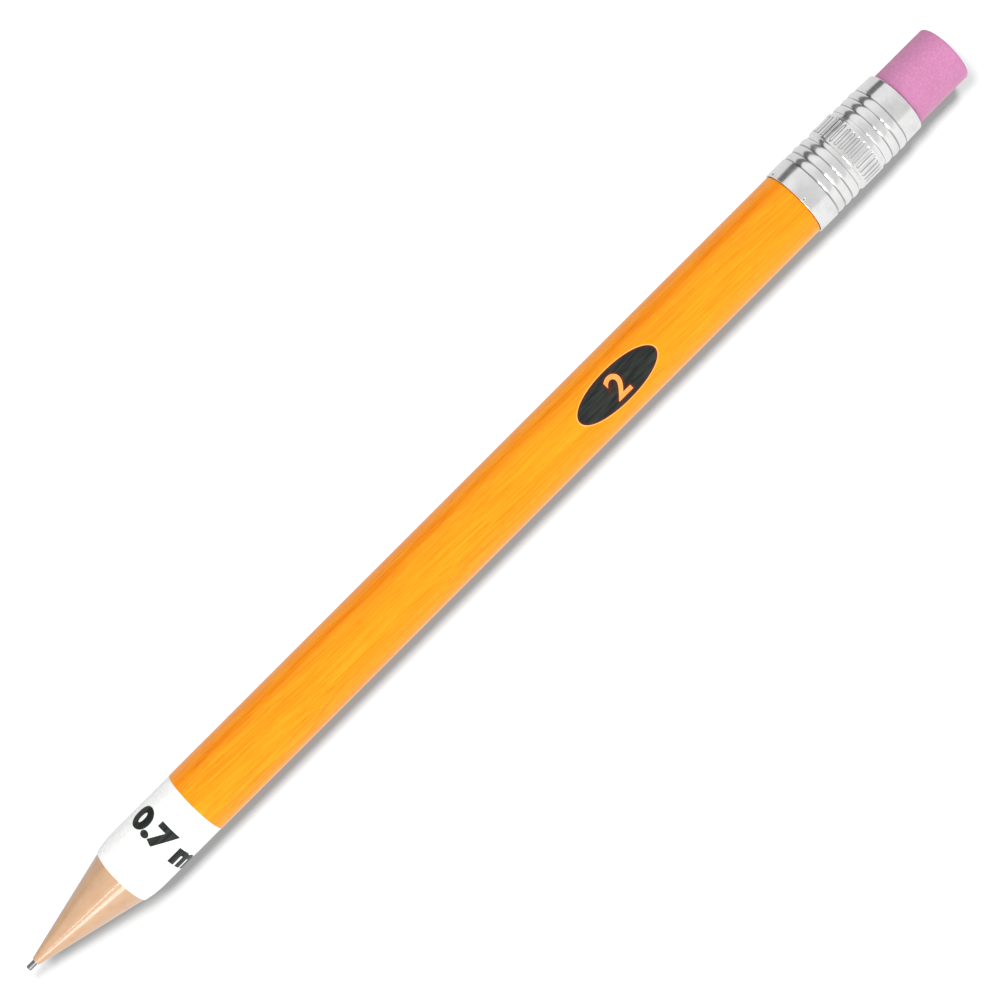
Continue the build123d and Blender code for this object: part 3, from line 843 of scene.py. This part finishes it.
class PENCIL_OT_ferrule(bpy.types.Operator):
    """Rolls the aluminium ferrule with its beads, flutes and crimping dents"""

    bl_idname = "pencil.ferrule"
    bl_label = "Ferrule"

    def skin(self, s):
        """The outside of the ferrule from front to rear, apart from its flutes and dents."""
        lip = s.lip
        points = arc((FERRULE_FRONT + lip, s.band - lip), lip, 180, 90, 4)
        band_end = FERRULE_FRONT + s.band_length
        points += self.rows(FERRULE_FRONT + 2 * lip, s.band, band_end, s.band, 20)
        points += self.bead_row(s, band_end + 0.14 * MM, 4.22 * MM, 4.38 * MM)
        flutes_start, flutes_end = FERRULE_FRONT + s.flutes_from, FERRULE_FRONT + s.flutes_to
        points += self.rows(flutes_start - 0.45 * MM, s.neck, flutes_start - 0.12 * MM, s.neck, 3)
        points += self.rows(flutes_start, s.fluted, flutes_end, s.fluted, 28)
        points += self.rows(flutes_end + 0.12 * MM, s.neck, flutes_end + 0.4 * MM, s.neck, 3)
        points += self.bead_row(s, flutes_end + 0.48 * MM, 4.13 * MM, 4.28 * MM)
        mouth_start = FERRULE_FRONT + s.mouth_from
        points += self.rows(mouth_start, s.mouth + 0.06 * MM, FERRULE_REAR - 2 * lip, s.mouth, 10)
        points += arc((FERRULE_REAR - lip, s.mouth - lip), lip, 90, 0, 4)
        return points

    def rows(self, start, start_radius, end, end_radius, count):
        """Evenly spaced points of a straight stretch."""
        return [
            (start + (end - start) * k / count, start_radius + (end_radius - start_radius) * k / count)
            for k in range(count + 1)
        ]

    def bead_row(self, s, start, groove, crest):
        """A row of rounded beads with narrow grooves between them."""
        steps = 12
        points = []
        for bead in range(s.beads):
            for step in range(0 if bead == 0 else 1, steps + 1):
                swell = math.sin(math.pi * step / steps) ** 0.8
                x = start + (bead + step / steps) * s.bead_pitch
                points.append((x, groove + (crest - groove) * swell))
        return points

    def flute(self, s, vertex):
        """Presses the pill-shaped flutes into the fluted band."""
        middle = FERRULE_FRONT + (s.flutes_from + s.flutes_to) / 2
        pitch = TURN / s.flutes
        turned_by = polar(vertex.co)
        off_centre = (turned_by - round(turned_by / pitch) * pitch) * s.fluted
        past_end = max(abs(vertex.co.x - middle) - (s.flute_length - s.flute_width) / 2, 0.0)
        inside = 1 - math.hypot(past_end, off_centre) / (s.flute_width / 2)
        if inside > 0:
            push_radially(vertex, -s.flute_depth * math.sin(min(inside * 2.8, 1) * math.pi / 2))

    def dent(self, s, vertex):
        """Presses a ring of small crimping dents near the front edge."""
        pitch = TURN / s.dents
        turned_by = polar(vertex.co) + math.radians(6)
        off_centre = (turned_by - round(turned_by / pitch) * pitch) * s.band
        distance = math.hypot(vertex.co.x - FERRULE_FRONT - s.dent_from, off_centre)
        push_radially(vertex, -s.dent_depth * math.exp(-((distance / s.dent_size) ** 2)))

    def execute(self, context):
        s = context.scene.pencil.ferrule
        skin = self.skin(s)
        lining = [
            (FERRULE_REAR - 0.03 * MM, s.mouth - s.wall),
            (FERRULE_FRONT + s.mouth_from, s.mouth + 0.02 * MM - s.wall),
            (FERRULE_FRONT + 2.9 * MM, s.mouth + 0.02 * MM - s.wall),
            (FERRULE_FRONT + 2.7 * MM, s.band - s.wall),
            (FERRULE_FRONT + 0.03 * MM, s.band - s.wall),
        ]
        bm = turned(skin + lining, s.flutes * 12)
        inner = s.neck - 0.1 * MM
        for vertex in bm.verts:
            out = math.hypot(vertex.co.y, vertex.co.z - AXIS_Z)
            if out < inner:
                continue
            place = vertex.co - Vector((0, 0, AXIS_Z))
            push_radially(vertex, s.waver * noise.noise(place * 700) * 0.6)
            push_radially(vertex, s.waver * noise.noise(place * 260))
            if s.flutes_from <= vertex.co.x - FERRULE_FRONT <= s.flutes_to:
                self.flute(s, vertex)
            elif vertex.co.x < FERRULE_FRONT + 1.4 * MM and out > s.band - 0.15 * MM:
                self.dent(s, vertex)
        piece = finished(bm, "ferrule_shell", ferrule_metal(s), "case", 50)
        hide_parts("ferrule")
        return {"FINISHED"}


class PENCIL_OT_eraser(bpy.types.Operator):
    """Builds the eraser with its waist and plug"""

    bl_idname = "pencil.eraser"
    bl_label = "Eraser"

    def execute(self, context):
        s = context.scene.pencil.eraser
        cup_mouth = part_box("eraser_holder")[1].x + 0.02 * MM
        waist_end = FERRULE_REAR + 0.1 * MM
        step_round = 0.1 * MM
        shown_from = waist_end + step_round
        flat = s.radius - s.edge
        end = ERASER_REAR - s.dome
        dome = [
            (end + s.dome * (1 - (1 - step / 6) ** 2), flat * (1 - step / 6)) for step in range(1, 7)
        ]
        outline = [
            (ERASER_FRONT, 0.0),
            (ERASER_FRONT, s.plug - 0.4 * MM),
            (ERASER_FRONT + 0.4 * MM, s.plug),
            (cup_mouth, s.plug),
            (cup_mouth, s.waist),
            (waist_end, s.waist),
            *arc((shown_from, s.radius - step_round), step_round, 180, 90, 3),
            *[(shown_from + (end - s.edge - shown_from) * k / 20, s.radius) for k in range(1, 20)],
            *arc((end - s.edge, flat), s.edge, 90, 0, 8),
            *dome,
        ]
        bm = turned(outline, s.facets, closed=False)
        for vertex in bm.verts:
            if vertex.co.x > waist_end:
                place = vertex.co - Vector((0, 0, AXIS_Z))
                vertex.co += noise.noise_vector(place * 900) * 0.012 * MM
        piece = finished(bm, "eraser_block", eraser_rubber(s), "eraser_plug", 50)
        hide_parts("eraser")
        return {"FINISHED"}


# ---------------------------------------------------------------- printing


def lettering(text, width, height, weight):
    """Flat text as a bmesh, centred, stretched to a width and a height."""
    curve = bpy.data.curves.new("lettering", "FONT")
    curve.body = text
    curve.offset = weight
    curve.resolution_u = 8
    holder = bpy.data.objects.new("lettering", curve)
    bpy.context.scene.collection.objects.link(holder)
    flat = bpy.data.meshes.new_from_object(holder.evaluated_get(bpy.context.evaluated_depsgraph_get()))
    bm = bmesh.new()
    bm.from_mesh(flat)
    bpy.data.objects.remove(holder)
    bpy.data.curves.remove(curve)
    bpy.data.meshes.remove(flat)
    low = Vector((min(v.co.x for v in bm.verts), min(v.co.y for v in bm.verts), 0))
    high = Vector((max(v.co.x for v in bm.verts), max(v.co.y for v in bm.verts), 0))
    bmesh.ops.translate(bm, verts=bm.verts[:], vec=-(low + high) / 2)
    scale = Vector((width / (high.x - low.x), height / (high.y - low.y), 1))
    bmesh.ops.scale(bm, verts=bm.verts[:], vec=scale)
    return bm


def ellipse(length_along, width_around):
    """A flat filled ellipse as a bmesh."""
    bm = bmesh.new()
    bmesh.ops.create_circle(bm, cap_ends=True, radius=0.5, segments=128)
    bmesh.ops.scale(bm, verts=bm.verts[:], vec=(length_along, width_around, 1))
    return bm


def wrap(bm, x, turned_by, radius, depth):
    """Bends a flat print round the long axis and gives it a thickness that ends inside the surface."""
    reach = max(abs(v.co.y) for v in bm.verts)
    slices = 40
    for k in range(-slices, slices + 1):
        bmesh.ops.bisect_plane(
            bm,
            geom=bm.verts[:] + bm.edges[:] + bm.faces[:],
            dist=1e-9,
            plane_co=(0, reach * k / slices, 0),
            plane_no=(0, 1, 0),
        )
    bmesh.ops.triangulate(bm, faces=bm.faces[:])
    for vertex in bm.verts:
        around = turned_by + vertex.co.y / radius
        vertex.co = (
            x + vertex.co.x, radius * math.sin(around), AXIS_Z + radius * math.cos(around)
        )
    bmesh.ops.recalc_face_normals(bm, faces=bm.faces[:])
    if bm.faces[0].normal.z < 0:
        bmesh.ops.reverse_faces(bm, faces=bm.faces[:])
    walls = bmesh.ops.extrude_face_region(bm, geom=bm.faces[:])
    top = [item for item in walls["geom"] if isinstance(item, bmesh.types.BMVert)]
    for vertex in top:
        push_radially(vertex, depth)
    bmesh.ops.recalc_face_normals(bm, faces=bm.faces[:])


class PENCIL_OT_prints(bpy.types.Operator):
    """Prints the oval and its numeral on the barrel, and the lead size on the collar"""

    bl_idname = "pencil.prints"
    bl_label = "Printing"

    def lay(self, s, bm, name, material, x, around, surface, layer):
        """Lays one print on a surface. Each higher layer stands a little prouder."""
        root = surface - 2 * s.lift
        wrap(bm, x, around, root, (2 + layer) * s.lift)
        finished(bm, name, material, "case", 60)

    def execute(self, context):
        s = context.scene.pencil.prints
        barrel = radius_of("barrel")
        collar = context.scene.pencil.collar.radius
        x, around = BARREL_FRONT + s.oval_from_front, s.oval_angle
        black = printing_ink("ink_black", s.black, s.black_thin)
        orange = printing_ink("ink_orange", s.orange, s.orange_thin)
        red = printing_ink("ink_edge", s.edge_red, [c * 1.6 for c in s.edge_red])
        pale = printing_ink("ink_pale", s.pale, [c * 0.94 for c in s.pale])
        rim = ellipse(s.oval_length + 2 * s.rim, s.oval_width + 2 * s.rim)
        ground = ellipse(s.oval_length - 2 * s.edge, s.oval_width - 2 * s.edge)
        self.lay(s, rim, "oval_rim", pale, x, around, barrel, 0.35)
        self.lay(s, ellipse(s.oval_length, s.oval_width), "oval_edge", red, x, around, barrel, 0.7)
        self.lay(s, ground, "oval_ground", black, x, around, barrel, 1.0)
        outer_width, outer_height = s.grade_width + 2 * s.edge, s.grade_height + 2 * s.edge
        shadow = lettering(s.grade, outer_width, outer_height, s.edge_weight)
        self.lay(s, shadow, "grade_edge", red, x, around, barrel, 1.35)
        numeral = lettering(s.grade, s.grade_width, s.grade_height, s.grade_weight)
        self.lay(s, numeral, "grade_numeral", orange, x, around, barrel, 1.7)
        marking = lettering(s.size_mark, s.size_width, s.size_height, s.size_weight)
        across = Matrix.Rotation(-TURN / 4, 3, "Z")
        bmesh.ops.rotate(marking, verts=marking.verts[:], cent=(0, 0, 0), matrix=across)
        x = BARREL_FRONT - s.size_from_rear
        self.lay(s, marking, "size_marking", black, x, s.size_angle, collar, 1.0)
        return {"FINISHED"}


# ---------------------------------------------------------------- the works inside


class PENCIL_OT_spring(bpy.types.Operator):
    """Winds the return spring"""

    bl_idname = "pencil.spring"
    bl_label = "Return spring"

    def execute(self, context):
        s = context.scene.pencil.spring
        front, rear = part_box("return_spring")[0].x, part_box("return_spring")[1].x
        coil = radius_of("return_spring") - s.wire / 2
        round_wire = arc((front + s.wire / 2, coil), s.wire / 2, 0, 330, 11)
        bm = outline_mesh(round_wire)
        turn(bm, s.facets, s.turns, (rear - front - s.wire) / s.turns)
        bmesh.ops.holes_fill(bm, edges=[e for e in bm.edges if e.is_boundary], sides=len(round_wire))
        bmesh.ops.recalc_face_normals(bm, faces=bm.faces[:])
        steel, *_ = rolled_metal("spring_steel", (0.62, 0.62, 0.64), (0.45, 0.45, 0.47), 900, 0.24, 2e-6)
        piece = finished(bm, "spring_coil", steel, "case")
        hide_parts("return_spring")
        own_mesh(piece)
        return {"FINISHED"}


class PENCIL_OT_works(bpy.types.Operator):
    """Finishes the clutch, tube, bush and holder"""

    bl_idname = "pencil.works"
    bl_label = "Works inside"

    def execute(self, context):
        brass, *_ = rolled_metal("clutch_brass", (0.80, 0.55, 0.22), (0.62, 0.40, 0.14), 4200, 0.22, 3e-6)
        black = matte_plastic("inner_plastic", (0.055, 0.055, 0.058))
        finishes = {
            "chuck": brass,
            "clutch_ring": brass,
            "lead_retainer": soft_rubber(),
            "lead_tube": matte_plastic("tube_plastic", (0.78, 0.78, 0.75), 0.4),
            "clutch_sleeve": matte_plastic("sleeve_plastic", (0.20, 0.20, 0.21), 0.42),
            "rear_bush": black,
            "eraser_holder": black,
            "chuck_connector": black,
        }
        for node, material in finishes.items():
            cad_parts[node].data.materials[0] = material
        return {"FINISHED"}


# ---------------------------------------------------------------- stage


# the surroundings, as a lean in degrees from straight up, positive towards +Y, and a brightness
LEVELS = [
    (-180, 0.86), (-95, 0.93), (-54, 0.96), (-48, 0.73), (0, 0.71), (22, 0.78), (44, 0.90),
    (70, 0.88), (73, 0.18), (94, 0.15), (99, 0.74), (180, 0.78),
]
# each strip that glints on the cone: name, direction, size along and around the pencil, radiance
STRIPS = [
    ("broad_strip", (-0.611, -0.496, 0.617), 0.34, 0.15, 9.0),
    ("thin_strip", (-0.628, -0.182, 0.756), 0.34, 0.036, 12.0),
]
STRIP_DISTANCE = 0.7
# each broad light: name, direction, strength
BROAD_LIGHTS = [
    ("soft_light", (-0.10, -0.30, 0.95), 1.20),
    ("fill_light", (0.0, 0.80, 0.60), 0.60),
]
BROAD_ANGLE = math.radians(50)
SHADOW_STRENGTH = 12.4
SHADOW_ANGLE = math.radians(14)


class PENCIL_OT_stage(bpy.types.Operator):
    """Sets the floor, the lights, the surroundings and the camera"""

    bl_idname = "pencil.stage"
    bl_label = "Stage"

    def surroundings(self):
        """A pale studio that is dimmer towards +Y, with a dark strip low on that side."""
        world = bpy.data.worlds.new("studio")
        bpy.context.scene.world = world
        world.use_nodes = True
        tree = world.node_tree
        tree.nodes.clear()
        direction = add_node(tree, "ShaderNodeTexCoord").outputs["Generated"]
        parts = add_node(tree, "ShaderNodeSeparateXYZ", {"Vector": direction})
        lean = add_node(tree, "ShaderNodeMath", operation="ARCTAN2")
        tree.links.new(parts.outputs["Y"], lean.inputs[0])
        tree.links.new(parts.outputs["Z"], lean.inputs[1])
        place = remap(tree, lean.outputs["Value"], -math.pi, math.pi, 0.0, 1.0)
        strengths = ramp(tree, place, [((leans + 180) / 360, grey(level)) for leans, level in LEVELS])
        seen = add_node(tree, "ShaderNodeLightPath").outputs["Is Camera Ray"]
        background = blend_colours(tree, seen, strengths, grey(0.93))
        lit = add_node(tree, "ShaderNodeBackground", {"Color": background, "Strength": 1.0})
        output = add_node(tree, "ShaderNodeOutputWorld")
        tree.links.new(lit.outputs["Background"], output.inputs["Surface"])

    def floor(self, s):
        """A pale floor that takes a soft shadow."""
        bm = bmesh.new()
        bmesh.ops.create_grid(bm, x_segments=1, y_segments=1, size=s.floor_size / 2)
        mesh = bpy.data.meshes.new("floor")
        bm.to_mesh(mesh)
        bm.free()
        material, *_ = start_material(
            "floor_paper",
            Base_Color=(*grey(0.10), 1.0),
            Specular_IOR_Level=0.0,
            Roughness=1.0,
            Emission_Color=(*grey(1.0), 1.0),
            Emission_Strength=0.30,
        )
        mesh.materials.append(material)
        floor = bpy.data.objects.new("floor", mesh)
        bpy.context.scene.collection.objects.link(floor)
        floor.visible_diffuse = False
        floor.visible_glossy = False
        floor.visible_transmission = False
        floor.visible_shadow = False
        return floor

    def lamp(self, name, kind, direction, strength, distance=1.0):
        """A light that shines along a direction towards the pencil."""
        data = bpy.data.lights.new(name, kind)
        data.energy = strength
        light = bpy.data.objects.new(name, data)
        bpy.context.scene.collection.objects.link(light)
        towards = Vector(direction).normalized()
        light.location = towards * distance
        along = (Vector((1, 0, 0)) - towards * towards.x).normalized()
        turned_to = Matrix((along.cross(towards), along, towards)).transposed()
        light.rotation_euler = turned_to.to_euler()
        return light

    def shine_on(self, light, floor, state):
        """Keeps a light on the floor alone, or off it."""
        receivers = bpy.data.collections.new(light.name + "_receivers")
        receivers.objects.link(floor)
        receivers.collection_objects[0].light_linking.link_state = state
        light.light_linking.receiver_collection = receivers

    def lights(self, s, floor):
        """Two strips that glint on the cone, two broad lights for form and two suns for the shadow."""
        for name, direction, along, around, radiance in STRIPS:
            power = radiance * math.pi * along * around
            strip = self.lamp(name, "AREA", direction, power, STRIP_DISTANCE)
            strip.data.shape, strip.data.size, strip.data.size_y = "RECTANGLE", around, along
            self.shine_on(strip, floor, "EXCLUDE")
        for name, direction, strength in BROAD_LIGHTS:
            broad = self.lamp(name, "SUN", direction, strength)
            broad.data.angle = BROAD_ANGLE
            broad.visible_glossy = False
            self.shine_on(broad, floor, "EXCLUDE")
        for name, side in (("shadow_front", -1), ("shadow_rear", 1)):
            direction = (side * math.tan(s.shadow_spread), math.sin(s.shadow_tilt), math.cos(s.shadow_tilt))
            sun = self.lamp(name, "SUN", direction, SHADOW_STRENGTH)
            sun.data.angle = SHADOW_ANGLE
            self.shine_on(sun, floor, "INCLUDE")

    def camera(self, s):
        """A long lens that looks down on the pencil, standing a little towards the eraser."""
        data = bpy.data.cameras.new("camera")
        data.sensor_width = 36.0
        data.lens = data.sensor_width * s.distance / s.view_width
        data.clip_start = 0.01
        data.clip_end = 20.0
        camera = bpy.data.objects.new("camera", data)
        bpy.context.scene.collection.objects.link(camera)
        aim = Vector((s.aim_x, s.aim_y, AXIS_Z))
        height = math.sqrt(s.distance**2 - s.foot**2)
        back = Vector((s.foot, 0, height)).normalized()
        camera.location = aim + back * s.distance
        tip_over = Matrix.Rotation(math.atan2(s.foot, height), 3, "Y")
        camera.rotation_euler = (tip_over @ Matrix.Rotation(s.turn, 3, "Z")).to_euler()
        bpy.context.scene.camera = camera

    def execute(self, context):
        s = context.scene.pencil.stage
        context.scene.view_settings.view_transform = "Standard"
        self.surroundings()
        floor = self.floor(s)
        self.lights(s, floor)
        self.camera(s)
        return {"FINISHED"}


# ---------------------------------------------------------------- panel and registration


STEPS = ["stage", "barrel", "collar", "cone", "leads", "ferrule", "eraser", "prints", "spring", "works"]


class VIEW3D_PT_pencil(bpy.types.Panel):
    """Lists the pencil's pieces and their settings"""

    bl_label = "Pencil"
    bl_idname = "VIEW3D_PT_pencil"
    bl_space_type = "VIEW_3D"
    bl_region_type = "UI"
    bl_category = "Pencil"

    def draw(self, context):
        for step in STEPS:
            self.layout.operator("pencil." + step)
        pencil = context.scene.pencil
        for group in ("barrel", "collar", "cone", "ferrule", "eraser", "spring", "lead", "prints", "stage"):
            box = self.layout.box()
            box.label(text=group.capitalize())
            settings = getattr(pencil, group)
            for name in settings.__annotations__:
                box.prop(settings, name)


CLASSES = [
    BarrelSettings,
    CollarSettings,
    ConeSettings,
    FerruleSettings,
    EraserSettings,
    SpringSettings,
    LeadSettings,
    PrintSettings,
    StageSettings,
    PencilSettings,
    PENCIL_OT_stage,
    PENCIL_OT_barrel,
    PENCIL_OT_collar,
    PENCIL_OT_cone,
    PENCIL_OT_leads,
    PENCIL_OT_ferrule,
    PENCIL_OT_eraser,
    PENCIL_OT_prints,
    PENCIL_OT_spring,
    PENCIL_OT_works,
    VIEW3D_PT_pencil,
]


def register():
    """Registers the classes and hangs the settings on the scene."""
    for cls in CLASSES:
        bpy.utils.register_class(cls)
    bpy.types.Scene.pencil = PointerProperty(type=PencilSettings)


def unregister():
    """Removes the settings and the classes."""
    del bpy.types.Scene.pencil
    for cls in reversed(CLASSES):
        bpy.utils.unregister_class(cls)


def main():
    """Builds the stage and every piece."""
    register()
    for step in STEPS:
        getattr(bpy.ops.pencil, step)()


if __name__ == "__main__":
    main()
